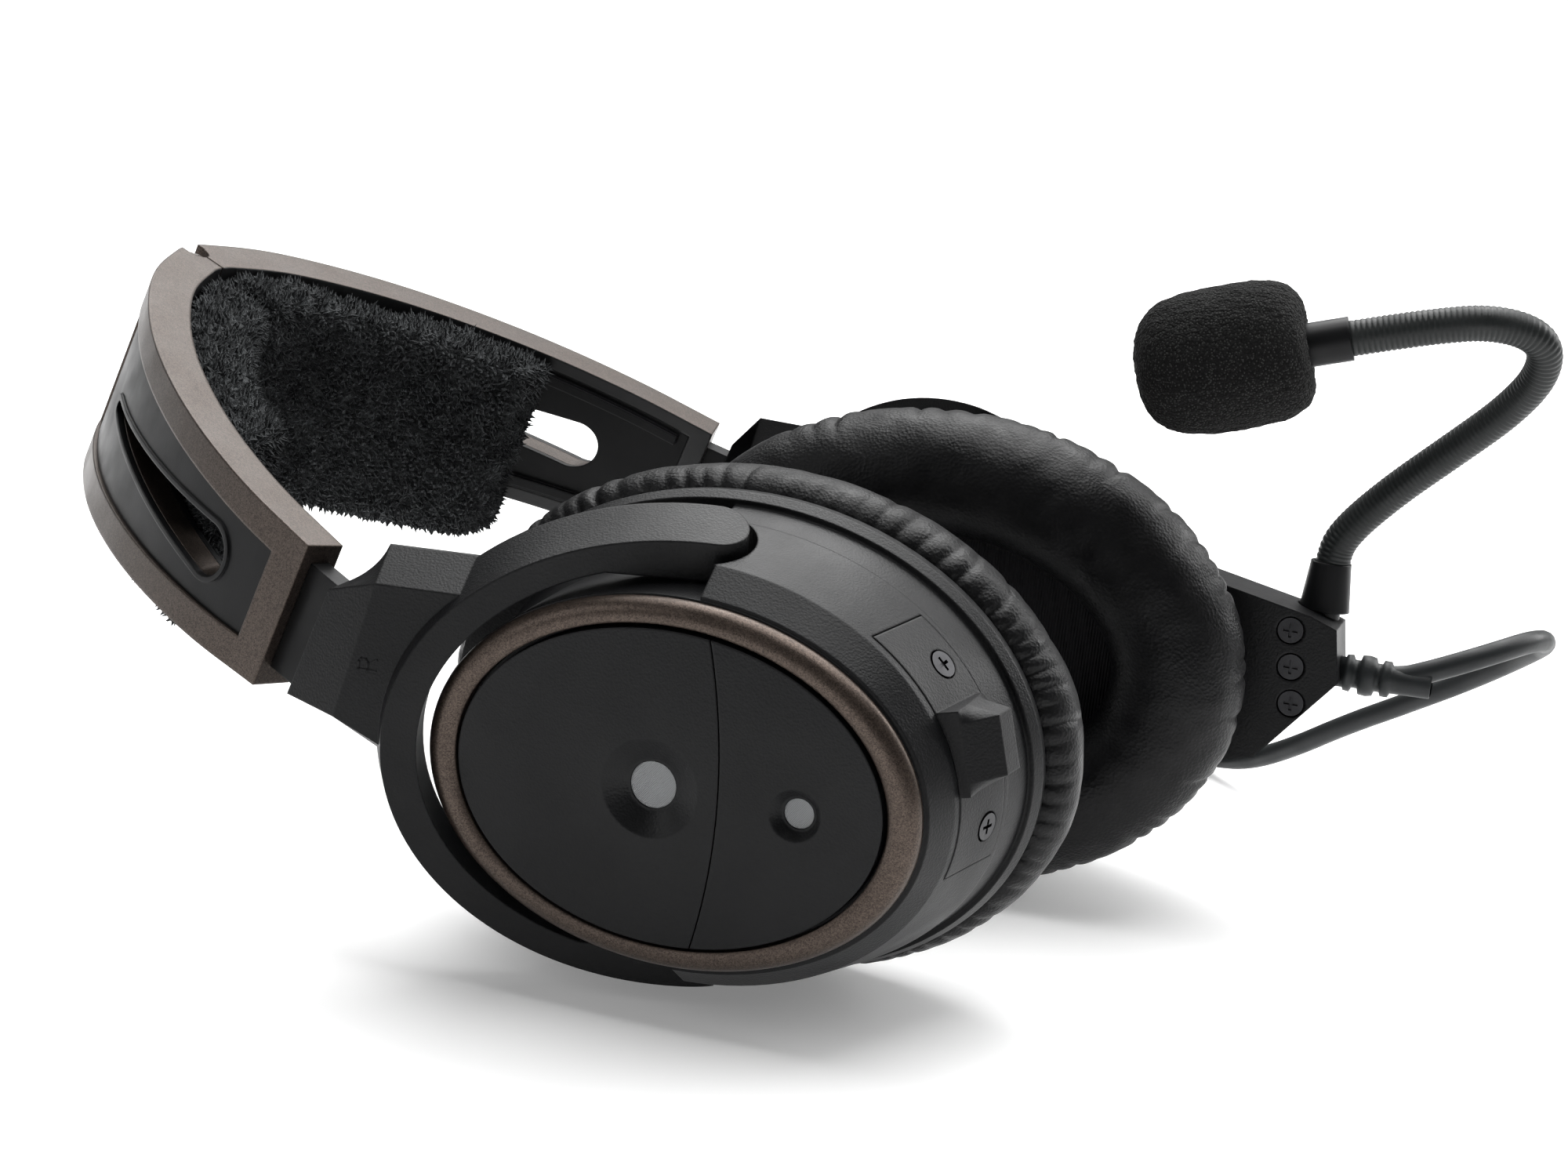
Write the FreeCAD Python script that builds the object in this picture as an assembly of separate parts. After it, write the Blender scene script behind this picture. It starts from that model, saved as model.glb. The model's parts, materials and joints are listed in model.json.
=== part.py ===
"""Aviation headset with a boom microphone: one STEP solid group per sub-part, in millimetres.

The pieces are drawn in the wearer's frame (x to the wearer's right, y forward, z up) and the finished set is
laid down at the end so that it rests on the rear edge of both ear cups: row X = wearer's right,
row Y = towards the bottom of the cups, row Z = towards the wearer's front.
An ear cup is drawn in its own frame (n outward, f forward, u up) and put on its yoke pivot.
"""
import FreeCAD, Part
import math
import os

V = FreeCAD.Vector
os.makedirs("parts", exist_ok=True)

# ---------------------------------------------------------------- driving dimensions
PIVOT = V(61.1, -0.8, 2.7)          # fork pivot of the right cup in the wearer's frame
TOE = 3.4                           # toe-in of both forks and cups, degrees
FORK_LEAN = 23.0                    # the forks converge downwards by this much
CUP_LEAN = {"right": 4.6, "left": -10.4}
CUP_PIVOT_N = 13.5                  # pivot in the cup's own frame
CUP_PIVOT_U = 3.8
SLIDER_IN = {"right": 0.0, "left": 3.5}

RAKE = 18.2                         # headband leans forward from the cups' long axis
BAND_Y = -10.5
BAND_A = 77.7                       # half width of the arch
BAND_B = 87.5                       # rise of the arch above its springing line
BAND_Z0 = 66.9
BAND_POWER = 1.63
BAND_LEG_ANGLE = 17.0
BAND_END_Z = 73.5
BAND_TOP_Z = BAND_Z0 + BAND_B
BAND_W_END = 26.6
BAND_W_TOP = 37.6
BAND_T = 8.0
HALF_GAP = 0.2                      # half of the gap between the two band halves at the crown
PAD_END_Z = 101.0
PAD_BEHIND = 7.5                    # the pads stand out this far behind the band
STEM_W = 19.6
STEM_T = 4.0
STEM_DEPTH = 2.4                    # pocket's depth below the band's outer face
STEM_SHOWN = 7.8
STEM_INSERTION = 11.0
POCKET_DEPTH = 19.0
SLIDE_FIT = 0.06

PLATE = (36.2, 26.0)                # half height (u) and half width (f) of each oval
TRIM = (42.6, 31.0)
CORE = (42.2, 30.8)
RIM = (45.2, 35.2)
LIP = (51.5, 40.4)
CUSHION = (55.8, 43.0)
EAR = (32.0, 21.0)
FACE_N = 29.6
TRIM_N = 27.0
RIM_N = 21.0
FLANGE_N = (-6.8, -2.2)
CUSHION_N = (-26.0, -7.0)
WALL = 2.2
FOOT_N = 5.4                        # where the cup's side wall ends and its smooth foot begins
FOOT_STEP = 0.9
NOTCH_R = 9.4                       # the notch that the fork's arm ends turn in

RING_OUT = (48.4, 37.6)
RING_BACK = (50.3, 41.2)
RING_IN = (42.6, 33.2)
RING_N = (-4.5, 5.6)
RING_IN_WIDTH = 31.3                # half the opening's width between the arms
PIN_SPAN = (29.4, 37.2)
ARM_END = -8.0                      # the arms reach this far below the pivot
PIN_R = 1.5
PIN_FIT = 0.04

PORT_TURN = 14.0                    # the port is this far forward of straight down, degrees
GOOSE_R = 3.2
CABLE_R = 2.05
COIL_R = 24.0                       # middle of the coil's turns
COIL_HALF_WIDTH = 6.6
COIL_HEIGHT = 12.8
FLOOR_Y = -42.2                     # the level in the wearer's frame that the set is laid down on
ROW_SHIFT = V(0.16, 25.58, 42.2)    # puts the origin under the middle of the set

PARTS = {}


# ---------------------------------------------------------------- small helpers
def add(name, *solids):
    """Keep the solids of a node; a node holds one or more separate solids."""
    PARTS.setdefault(name, []).extend(solids)


def oval(size, n, u0=0.0, f0=0.0):
    edge = Part.Ellipse(V(n, f0, u0 + size[0]), V(n, f0 + size[1], u0), V(n, f0, u0)).toShape()
    return Part.Wire([edge])


def loft(wires, ruled=True):
    return Part.makeLoft(wires, True, ruled)


def oval_block(sections):
    """A solid through ovals given as (size, n)."""
    return loft([oval(size, n) for size, n in sections])


def oval_prism(size, n0, n1):
    return oval_block([(size, n0), (size, n1)])


def grow(size, by):
    return (size[0] + by, size[1] + by)


def box(n0, n1, f0, f1, u0, u1):
    return Part.makeBox(n1 - n0, f1 - f0, u1 - u0, V(n0, f0, u0))


def rod(p, q, r):
    return Part.makeCylinder(r, (q - p).Length, p, q - p)


def cone(p, q, r0, r1):
    return Part.makeCone(r0, r1, (q - p).Length, p, q - p)


def prism(points, direction):
    return Part.Face(Part.makePolygon(points + points[:1])).extrude(direction)


def hull_block(lower, upper):
    """A solid between two polygons with the same number of corners."""
    return loft([Part.makePolygon(lower + lower[:1]), Part.makePolygon(upper + upper[:1])])


def port_turned(shape):
    """Turn a shape drawn about straight down to the port's own direction."""
    out = shape.copy()
    out.rotate(V(0, 0, 0), V(1, 0, 0), PORT_TURN)
    return out


def one(shape):
    return max(shape.Solids, key=lambda s: s.Volume)


# ---------------------------------------------------------------- placing in the wearer's frame
def mirrored(shape, side):
    return shape if side == "right" else shape.mirror(V(0, 0, 0), V(1, 0, 0))


def slide_direction():
    a = math.radians(BAND_LEG_ANGLE)
    return rake_point(V(-math.sin(a), 0, math.cos(a))) - rake_point(V(0, 0, 0))


def rake_point(p):
    a = math.radians(RAKE)
    return V(p.x, math.cos(a) * p.y + math.sin(a) * p.z + BAND_Y, -math.sin(a) * p.y + math.cos(a) * p.z)


def on_band(shape, side):
    out = shape.copy()
    out.rotate(V(0, 0, 0), V(1, 0, 0), -RAKE)
    out.translate(V(0, BAND_Y, 0))
    return mirrored(out, side)


def pivot_at(side):
    return PIVOT + slide_direction() * SLIDER_IN[side]


def on_fork(shape, side):
    out = shape.copy()
    out.rotate(V(0, 0, 0), V(0, 1, 0), FORK_LEAN)
    out.rotate(V(0, 0, 0), V(0, 0, 1), -TOE)
    out.translate(pivot_at(side))
    return mirrored(out, side)


def on_cup(shape, side):
    out = shape.copy()
    out.translate(V(-CUP_PIVOT_N, 0, -CUP_PIVOT_U))
    out.rotate(V(0, 0, 0), V(0, 1, 0), CUP_LEAN[side])
    out.rotate(V(0, 0, 0), V(0, 0, 1), -TOE)
    out.translate(pivot_at(side))
    return mirrored(out, side)


def point_on_cup(n, f, u, side):
    return on_cup(Part.Vertex(V(n, f, u)), side).Point


# ---------------------------------------------------------------- the headband
def arch_point(deg):
    s = math.sin(math.radians(deg))
    c = max(math.cos(math.radians(deg)), 0.0)
    return V(BAND_A * s ** (2 / BAND_POWER), 0, BAND_Z0 + BAND_B * c ** (2 / BAND_POWER))


def leg_tangent():
    a = math.radians(BAND_LEG_ANGLE)
    return V(-math.sin(a), 0, math.cos(a))


ARCH_JOIN = arch_point(75)
LEG_END = ARCH_JOIN - leg_tangent() * ((ARCH_JOIN.z - BAND_END_Z) / leg_tangent().z)
ARCH_DEGREES = [75, 67, 58, 48, 37, 26, 15, 6]


def arch_line(depth):
    """Points and end tangents of the arch's spline, moved inward by depth."""
    points = []
    for deg in ARCH_DEGREES:
        ahead = arch_point(max(deg - 1, 0.5))
        t = leg_tangent() if deg == ARCH_DEGREES[0] else (ahead - arch_point(deg + 1)).normalize()
        points.append(arch_point(deg) + V(-t.z, 0, t.x) * depth)
    points.append(V(0, 0, BAND_TOP_Z - depth))
    return points


def arch_edges(depth):
    points = arch_line(depth)
    end = LEG_END + V(-leg_tangent().z, 0, leg_tangent().x) * depth
    curve = Part.BSplineCurve()
    curve.interpolate(Points=points, InitialTangent=leg_tangent(), FinalTangent=V(-1, 0, 0))
    edges = [Part.makeLine(end, points[0]), curve.toShape()]
    return edges, end, points[-1]


def width_wedge(inset):
    """Everything within the band's tapering width, less an inset at each edge."""
    w0 = BAND_W_END / 2 - inset
    w1 = BAND_W_TOP / 2 - inset
    z0 = BAND_END_Z
    z1 = BAND_TOP_Z
    slope = (w1 - w0) / (z1 - z0)
    low = w0 - slope * 30
    high = w1 + slope * 30
    pts = [V(-10, -low, z0 - 30), V(-10, low, z0 - 30), V(-10, high, z1 + 30), V(-10, -high, z1 + 30)]
    return prism(pts, V(120, 0, 0))


def band_slab(depth0, depth1, inset=0.0):
    """The part of the right band half between two depths below its outer face."""
    outer, end0, top0 = arch_edges(depth0)
    inner, end1, top1 = arch_edges(depth1)
    wire = Part.Wire(outer + [Part.makeLine(top0, top1)] + list(reversed(inner)) + [Part.makeLine(end1, end0)])
    slab = Part.Face(wire).extrude(V(0, 60, 0))
    slab.translate(V(0, -30, 0))
    return slab.common(width_wedge(inset))


def along_leg(distance, depth, y=0.0):
    """A point this far above the band's end, below its outer face by depth."""
    t = leg_tangent()
    return LEG_END + t * distance + V(-t.z, 0, t.x) * depth + V(0, y, 0)


def leg_block(d0, d1, depth0, depth1, half_width):
    a = [along_leg(d, z, -half_width) for d, z in ((d0, depth0), (d1, depth0), (d1, depth1), (d0, depth1))]
    return prism(a, V(0, 2 * half_width, 0))


def band_window(z_low, z_high, half_low, half_high):
    """A through-cut with a round wide lower end and a narrow round upper end."""
    low = V(0, 0, z_low + half_low)
    high = V(0, 0, z_high - half_high)
    pts = [V(0, -half_low, low.z), V(0, half_low, low.z), V(0, half_high, high.z), V(0, -half_high, high.z)]
    cut = prism(pts, V(140, 0, 0))
    cut = cut.fuse(Part.makeCylinder(half_low, 140, low, V(1, 0, 0)))
    cut = cut.fuse(Part.makeCylinder(half_high, 140, high, V(1, 0, 0)))
    return cut


def below_crown(shape, clear):
    """Trim a piece of the right half back from the crown plane."""
    return shape.common(Part.makeBox(150, 120, 260, V(clear, -60, 0)))


HINGE = V(0, 0, BAND_TOP_Z - 1.9)
HINGE_R = 1.9
HINGE_PIN_R = 0.9
KNUCKLES = 5


def headband(side):
    frame = band_slab(0, BAND_T)
    frame = frame.cut(below_crown(band_slab(-3, 1.7, 5.6), 17.0).cut(leg_block(-2, 7.0, -6, 9, 30)))
    frame = frame.cut(below_crown(band_slab(6.8, 10, 2.6), 10.0).cut(leg_block(-2, 4.0, -6, 9, 30)))
    window = band_window(89.5, 137.0, 4.6, 1.2)
    frame = frame.cut(window)
    pocket = leg_block(-2, POCKET_DEPTH, STEM_DEPTH, STEM_DEPTH + STEM_T + 2 * SLIDE_FIT, STEM_W / 2 + SLIDE_FIT)
    frame = frame.cut(pocket)
    frame = below_crown(frame, HALF_GAP)
    frame = frame.cut(Part.makeCylinder(HINGE_R + 0.35, 60, HINGE + V(0, -30, 0), V(0, 1, 0)))
    frame = frame.cut(Part.makeBox(2.6, 60, 6, V(0, -30, BAND_TOP_Z - 1.9)))
    span = BAND_W_TOP - 6.0
    step = span / KNUCKLES
    first = 0 if side == "right" else 1
    for k in range(first, KNUCKLES, 2):
        y0 = -span / 2 + k * step + 0.15
        knuckle = Part.makeCylinder(HINGE_R, step - 0.3, HINGE + V(0, y0, 0), V(0, 1, 0))
        leaf = Part.makeBox(5.0, step - 0.3, 1.5, V(0, y0, HINGE.z - HINGE_R))
        frame = frame.fuse(knuckle.fuse(leaf))
    frame = frame.cut(Part.makeCylinder(HINGE_PIN_R + PIN_FIT, 60, HINGE + V(0, -30, 0), V(0, 1, 0)))
    add("headband_frame_" + side, on_band(one(frame), side))

    insert = below_crown(band_slab(0.7, 1.7, 5.6), 17.0).cut(leg_block(-2, 7.0, -6, 9, 30))
    insert = insert.cut(band_window(88.6, 138.5, 5.6, 1.9))
    lip = band_window(88.6, 138.5, 5.6, 1.9).cut(window).common(band_slab(0.3, 1.7, 5.6))
    add("headband_insert_" + side, on_band(one(insert.fuse(lip)), side))

    liner = below_crown(band_slab(6.8, 8.0, 2.6), 10.0).cut(leg_block(-2, 4.0, -6, 9, 30)).cut(window)
    rail = below_crown(band_slab(8.0, 9.4, 3.4).cut(band_slab(7.0, 11.0, 5.2)), 12.0)
    rail = rail.cut(leg_block(-2, 6.0, -6, 10, 30))
    liner = liner.fuse(rail)
    add("headband_liner_" + side, on_band(one(liner), side))

    pad = below_crown(band_slab(8.3, 20.5, 1.0), 0.6)
    behind = pad.copy()
    behind.translate(V(0, -PAD_BEHIND, 0))
    pad = pad.fuse(behind).common(Part.makeBox(90, 120, 200, V(-2, -60, PAD_END_Z)))
    pad = pad.cut(below_crown(band_slab(7.9, 9.7, 3.0), 11.0)).removeSplitter()
    add("crown_pad_" + side, on_band(one(pad), side))


def crown_hinge():
    half = BAND_W_TOP / 2 - 1.5
    pin = Part.makeCylinder(HINGE_PIN_R, 2 * half, HINGE + V(0, -half, 0), V(0, 1, 0))
    add("crown_hinge_pin", on_band(pin, "right"))
    coil = Part.makeCylinder(HINGE_R - 0.1, 1.6, HINGE + V(0, half - 1.4, 0), V(0, 1, 0))
    coil = coil.cut(Part.makeCylinder(HINGE_PIN_R + 0.25, 3, HINGE + V(0, half - 2, 0), V(0, 1, 0)))
    add("crown_torsion_spring", on_band(coil, "right"))


# ---------------------------------------------------------------- the yokes
BLOCK_END = [(-10.4, -4.6), (13.2, -4.6), (9.6, 4.6), (-10.2, 4.6)]    # along the band's width, and out of it
BLOCK_MIDDLE = [(-8.6, -1.5), (-8.6, 29.0), (-0.2, 24.5), (-0.2, 1.5)]
BLOCK_ROOT = [(-4.4, -10.0), (-4.4, 29.5), (4.3, 25.0), (4.3, -6.0)]


def on_fork_point(n, f, u):
    return on_fork(Part.Vertex(V(n, f, u)), "right").Point


def yoke(side):
    ring = loft([oval(RING_BACK, RING_N[0]), oval(RING_OUT, RING_N[1])])
    opening = oval_prism(RING_IN, -20, 20).common(box(-20, 20, -RING_IN_WIDTH, RING_IN_WIDTH, -80, 80))
    ring = ring.cut(opening)
    tip_r = (RING_N[1] - RING_N[0]) / 2
    tip_n = (RING_N[1] + RING_N[0]) / 2
    arms = box(-20, 20, -80, 80, ARM_END + tip_r, 90)
    tips = Part.makeCylinder(tip_r, 160, V(tip_n, -80, ARM_END + tip_r), V(0, 1, 0))
    ring = ring.common(arms.fuse(tips))
    ring = ring.cut(rod(V(0, -PIN_SPAN[1], 0), V(0, PIN_SPAN[1], 0), PIN_R))
    shape = on_fork(one(ring), "right")
    t = slide_direction()
    side_axis = rake_point(V(0, 1, 0)) - rake_point(V(0, 0, 0))
    out_axis = side_axis.cross(t)
    base = rake_point(along_leg(-STEM_SHOWN, STEM_DEPTH + SLIDE_FIT + STEM_T / 2))
    end = [base + side_axis * across + out_axis * outward for across, outward in BLOCK_END]
    middle = [on_fork_point(n, f, 53.8 - 0.25 * (f - 14.0)) for n, f in BLOCK_MIDDLE]
    root = [on_fork_point(n, f, 36.5 - 0.2 * (f - 10.0)) for n, f in BLOCK_ROOT]
    block = hull_block(root, middle).fuse(hull_block(middle, end))
    block = block.cut(on_fork(oval_prism(grow(RING_IN, 1.0), -20, 20), "right"))
    fork = one(shape.fuse(block))

    def stem_box(d0, d1, half_w, half_t):
        a = base + t * d0 - side_axis * half_w - out_axis * half_t
        b = a + side_axis * 2 * half_w
        return prism([a, b, b + out_axis * 2 * half_t, a + out_axis * 2 * half_t], t * (d1 - d0))

    tongue = stem_box(-5.0, 0, 6.0, 1.8)
    stem = stem_box(0, STEM_SHOWN + STEM_INSERTION, STEM_W / 2, STEM_T / 2).fuse(tongue)
    fork = fork.cut(tongue)
    for name, body in (("yoke_fork_", fork), ("slider_stem_", stem)):
        body = body.copy()
        body.translate(t * SLIDER_IN[side])
        add(name + side, mirrored(body, side))
    for sign in (1, -1):
        pin = rod(V(0, sign * PIN_SPAN[0], 0), V(0, sign * PIN_SPAN[1], 0), PIN_R)
        add("pivot_pins_" + side, on_fork(pin, side))


# ---------------------------------------------------------------- the ear cups
def shell(inset=0.0):
    """The flush lower shell, tapering from the lip to the rim."""
    return oval_block([(grow(LIP, -0.6 - inset), FLANGE_N[1]), (grow(RIM, -inset), RIM_N)])


def housing(side):
    body = oval_block([(LIP, FLANGE_N[0]), (grow(LIP, 0.3), -4.5), (grow(LIP, -0.6), FLANGE_N[1])])
    body = body.fuse(oval_block([(grow(CORE, 2.5), FLANGE_N[1]), (CORE, 6.0), (CORE, TRIM_N)]))
    lower = shell().cut(shell(-5).cut(shell(FOOT_STEP)).common(box(-10, FOOT_N, -80, 80, -80, 80)))
    lower = lower.cut(box(-30, 40, -80, 80, CUP_PIVOT_U, 90))
    brow = oval_block([(RIM, RIM_N), (grow(TRIM, 0.3), TRIM_N - 0.3)])
    lower = lower.fuse(brow.cut(box(-30, 40, -80, 80, CUP_PIVOT_U - 6, 90)))
    lower = lower.cut(Part.makeCylinder(NOTCH_R, 160, V(CUP_PIVOT_N, -80, CUP_PIVOT_U), V(0, 1, 0)))
    body = body.fuse(lower)
    body = body.cut(oval_prism(grow(CORE, -WALL), FLANGE_N[0] + 1.6, TRIM_N - 2.4))
    body = body.cut(oval_prism(grow(PLATE, 0.1), TRIM_N - 1.6, 60))
    body = body.cut(oval_prism(grow(PLATE, -3.0), TRIM_N - 6, 60))
    body = body.cut(oval_prism((38.0, 27.0), -20, 0))
    body = body.cut(Part.makeCylinder(PIN_R + PIN_FIT, 160, V(CUP_PIVOT_N, -80, CUP_PIVOT_U), V(0, 1, 0)))
    body = body.cut(port_seat())
    for f in PORT_SCREWS[side]:
        body = body.cut(screw_hole(f))
    add("housing_" + side, on_cup(one(body), side))


PORT_SCREWS = {"right": [22.6, -2.6], "left": []}
PORT_SCREW_N = 11.0
PORT_SCREW_SINK = 0.9               # the screws' seats below the shell
PORT_BOX = (6.6, 19.6, -20, 20, -80, -20)
PORT_GAP = 0.15
PORT_DEPTH = 1.4                    # the port's seat below the shell
PORT_PROUD = 0.1                    # what sits in the port stands this far above the shell
SCREW_HOLE_R = 1.3
SCREW_SEAT_R = 2.6


def port_area():
    return port_turned(box(*PORT_BOX))


def port_seat():
    return shell(-5).cut(shell(PORT_DEPTH)).common(port_area())


def port_fill():
    n0, n1, f0, f1, u0, u1 = PORT_BOX
    area = port_turned(box(n0 + PORT_GAP, n1 - PORT_GAP, f0 + PORT_GAP, f1 - PORT_GAP, u0, u1))
    return shell(-PORT_PROUD).cut(shell(PORT_DEPTH)).common(area)


def shell_at(n, f):
    """A point on the shell's lower side, and the way straight out of it."""
    low = grow(LIP, -0.6)
    slope = [(RIM[k] - low[k]) / (RIM_N - FLANGE_N[1]) for k in (0, 1)]
    high, wide = [low[k] + slope[k] * (n - FLANGE_N[1]) for k in (0, 1)]
    u = -high * math.sqrt(1 - (f / wide) ** 2)
    along = -(u ** 2 * slope[0] / high ** 3 + f ** 2 * slope[1] / wide ** 3)
    return V(n, f, u), V(along, f / wide ** 2, u / high ** 2).normalize()


def screw_seat(f):
    point, out = shell_at(PORT_SCREW_N, f)
    return point - out * PORT_SCREW_SINK, out


def screw_hole(f):
    seat, out = screw_seat(f)
    return rod(seat - out * 5.5, seat + out * 5, SCREW_HOLE_R)


PORT_BLOCK = (4.9, 7.0)
PORT_BLOCK_LINE = [(7.6, -42.0), (19.4, -42.0), (19.2, -46.6), (14.6, -51.6), (10.2, -52.2), (8.0, -48.4)]


def port_cover_right():
    layers = []
    for f, deepest in ((-PORT_BLOCK[1], -46.8), (-PORT_BLOCK[0], -60.0), (PORT_BLOCK[0], -60.0), (PORT_BLOCK[1], -46.8)):
        layers.append([V(n, f, max(u, deepest)) for n, u in PORT_BLOCK_LINE])
    cover = port_fill()
    for low, high in zip(layers, layers[1:]):
        cover = cover.fuse(port_turned(hull_block(low, high)).cut(shell(PORT_DEPTH)))
    for f in PORT_SCREWS["right"]:
        seat, out = screw_seat(f)
        cover = cover.cut(screw_hole(f)).cut(rod(seat, seat + out * 5, SCREW_SEAT_R))
        add("port_screws_right", on_cup(screw(seat, out), "right"))
    add("port_cover_right", on_cup(one(cover), "right"))


def screw(seat, out):
    """A pan head with a cross recess, its head standing out from the seat."""
    head = Part.makeCylinder(2.3, 1.1, seat, out)
    shank = Part.makeCylinder(1.2, 5.0, seat - out * 5.0, out)
    side_a = out.cross(V(0, 1, 0)) if abs(out.y) < 0.5 else out.cross(V(1, 0, 0))
    side_b = out.cross(side_a)
    for a, b in ((side_a, side_b), (side_b, side_a)):
        start = seat + out * 0.5 - a * 1.3 - b * 0.28
        blade = prism([start, start + a * 2.6, start + a * 2.6 + b * 0.56, start + b * 0.56], out * 2)
        head = head.cut(blade)
    return head.fuse(shank)


SEAM_A = V(0, 27.1, -5.3)
SEAM_B = V(0, 3.0, -9.2)
SEAM_C = V(0, -25.7, -6.1)
DISH_BIG = (0.0, 2.4, 8.6, 3.9)
DISH_SMALL = (0.0, -22.3, 4.9, 2.5)


def seam_centre():
    circle = Part.Arc(SEAM_A, SEAM_B, SEAM_C).toShape().Curve
    return circle.Center, circle.Radius


def face_plates(side):
    dome_r = 380.0
    dome = Part.makeSphere(dome_r, V(FACE_N + 1.7 - dome_r, 0, 0))
    plate = oval_prism(PLATE, TRIM_N - 1.6, TRIM_N + 9).common(dome)
    for f, u, r, hole in (DISH_BIG, DISH_SMALL):
        top = V(FACE_N + 1.75, f, u)
        plate = plate.cut(cone(top - V(2.1, 0, 0), top + V(0.2, 0, 0), hole + 0.4, r + 0.3))
        plate = plate.cut(rod(top - V(2.9, 0, 0), top, hole))
    centre, radius = seam_centre()
    disc_in = Part.makeCylinder(radius - 0.12, 30, V(15, centre.y, centre.z), V(1, 0, 0))
    disc_out = Part.makeCylinder(radius + 0.12, 30, V(15, centre.y, centre.z), V(1, 0, 0))
    add("face_plate_main_" + side, on_cup(one(plate.common(disc_in)), side))
    add("face_plate_minor_" + side, on_cup(one(plate.cut(disc_out)), side))
    for f, u, r, hole in (DISH_BIG, DISH_SMALL):
        top = V(FACE_N + 1.75 - 2.9, f, u)
        add("vent_mesh_" + side, on_cup(rod(top, top + V(0.6, 0, 0), hole - 0.02), side))


TRIM_LINE = ((-0.5, 0.0), (-0.6, 0.9), (-1.1, 1.9), (-2.1, 2.7), (-3.4, 3.0), (-4.8, 2.7), (-6.0, 1.8))


def trim_ring(side):
    crown = loft([oval(grow(TRIM, inset), TRIM_N + up) for inset, up in TRIM_LINE], False)
    ring = crown.cut(oval_prism(grow(PLATE, 0.7), TRIM_N - 5, TRIM_N + 20))
    add("trim_ring_" + side, on_cup(one(ring), side))


def cup_inside(side):
    baffle = oval_prism((37.9, 26.9), FLANGE_N[0] + 0.4, FLANGE_N[0] + 1.6)
    baffle = baffle.cut(rod(V(-20, 0, 0), V(10, 0, 0), 17.0))
    add("baffle_plate_" + side, on_cup(baffle, side))
    driver = rod(V(-6.4, 0, 0), V(-1.5, 0, 0), 16.9).fuse(rod(V(-1.5, 0, 0), V(5.0, 0, 0), 11.0))
    driver = driver.cut(cone(V(-6.5, 0, 0), V(-3.0, 0, 0), 14.5, 5.0))
    add("driver_" + side, on_cup(driver, side))
    board = oval_prism((32.0, 21.0), 17.0, 18.6)
    board = board.fuse(box(13.5, 17.0, -9, 3, 5, 19)).fuse(box(14.5, 17.0, -8, 8, -20, -6))
    board = board.fuse(rod(V(10.0, 11, 0), V(17.0, 11, 0), 3.0))
    add("circuit_board_" + side, on_cup(board, side))
    scrim = oval_prism(grow(EAR, 3.0), -7.6, -6.9)
    add("ear_scrim_" + side, on_cup(scrim, side))
    ring = oval_block([(grow(CUSHION, -4.5), CUSHION_N[1]), (CUSHION, -11.5), (CUSHION, -17.0),
                       (grow(CUSHION, -3.0), -23.0), (grow(CUSHION, -9.0), CUSHION_N[0])])
    ring = ring.cut(oval_prism(EAR, -60, 60))
    ring = ring.cut(oval_prism(grow(EAR, 3.2), -7.8, 0))
    add("ear_cushion_" + side, on_cup(one(ring), side))


# ---------------------------------------------------------------- the left cup's boom and cable module
MODULE_N = (-1.8, 17.0)
MODULE_OUTLINE = [(19.0, -40.0), (14.4, -64.0), (12.6, -69.0), (3.0, -70.6), (-13.0, -57.5), (-17.0, -42.0)]
MODULE_SCREWS = [(11.2, -60.8), (4.6, -61.8), (-2.0, -62.8)]
SCREW_SEAT_N = -0.6
COLLAR_BASE = (8.6, 13.2, -65.2)
COLLAR_R = 3.0
COLLAR_DEPTH = 5.4
COLLAR_CONE = (1.2, 10.0)           # where the collar's cone begins and ends along its axis
COLLAR_CONE_R = 4.6
GOOSE_SEAT = 2.6                    # the gooseneck's end inside the collar
RELIEF_BASE = (5.0, 4.2, -69.6)
RELIEF_R = 2.86
RELIEF_DEPTH = 6.0


def boom_module():
    top_corners = [(f * 0.9 + 0.6, u * 0.965) for f, u in MODULE_OUTLINE]
    low = [V(MODULE_N[0], f, u) for f, u in MODULE_OUTLINE]
    mid = [V(12.0, f, u) for f, u in MODULE_OUTLINE]
    top = [V(MODULE_N[1], f, u) for f, u in top_corners]
    block = hull_block(low, mid).fuse(hull_block(mid, top))
    block = block.cut(shell(-0.05)).cut(oval_prism(grow(LIP, 0.6), -20, FLANGE_N[1] + 0.2))
    block = block.fuse(port_fill())
    for f, u in MODULE_SCREWS:
        block = block.cut(rod(V(-3, f, u), V(8, f, u), SCREW_HOLE_R))
        block = block.cut(rod(V(-3, f, u), V(SCREW_SEAT_N, f, u), SCREW_SEAT_R))
    n, f, u = COLLAR_BASE
    bore_in = V(n, f - COLLAR_DEPTH - 0.5, u)
    block = block.cut(rod(bore_in, bore_in + V(0, 30, 0), COLLAR_R + PIN_FIT))
    seat = V(n, f + COLLAR_CONE[0] - 0.2, u)
    block = block.cut(rod(seat, seat + V(0, 30, 0), COLLAR_CONE_R + 0.3))
    n, f, u = RELIEF_BASE
    block = block.cut(rod(V(n, f, u + RELIEF_DEPTH), V(n, f, u - 20), RELIEF_R + PIN_FIT))
    add("boom_module_left", on_cup(one(block), "left"))
    for f, u in MODULE_SCREWS:
        add("module_screws_left", on_cup(screw(V(SCREW_SEAT_N, f, u), V(-1, 0, 0)), "left"))


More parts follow.
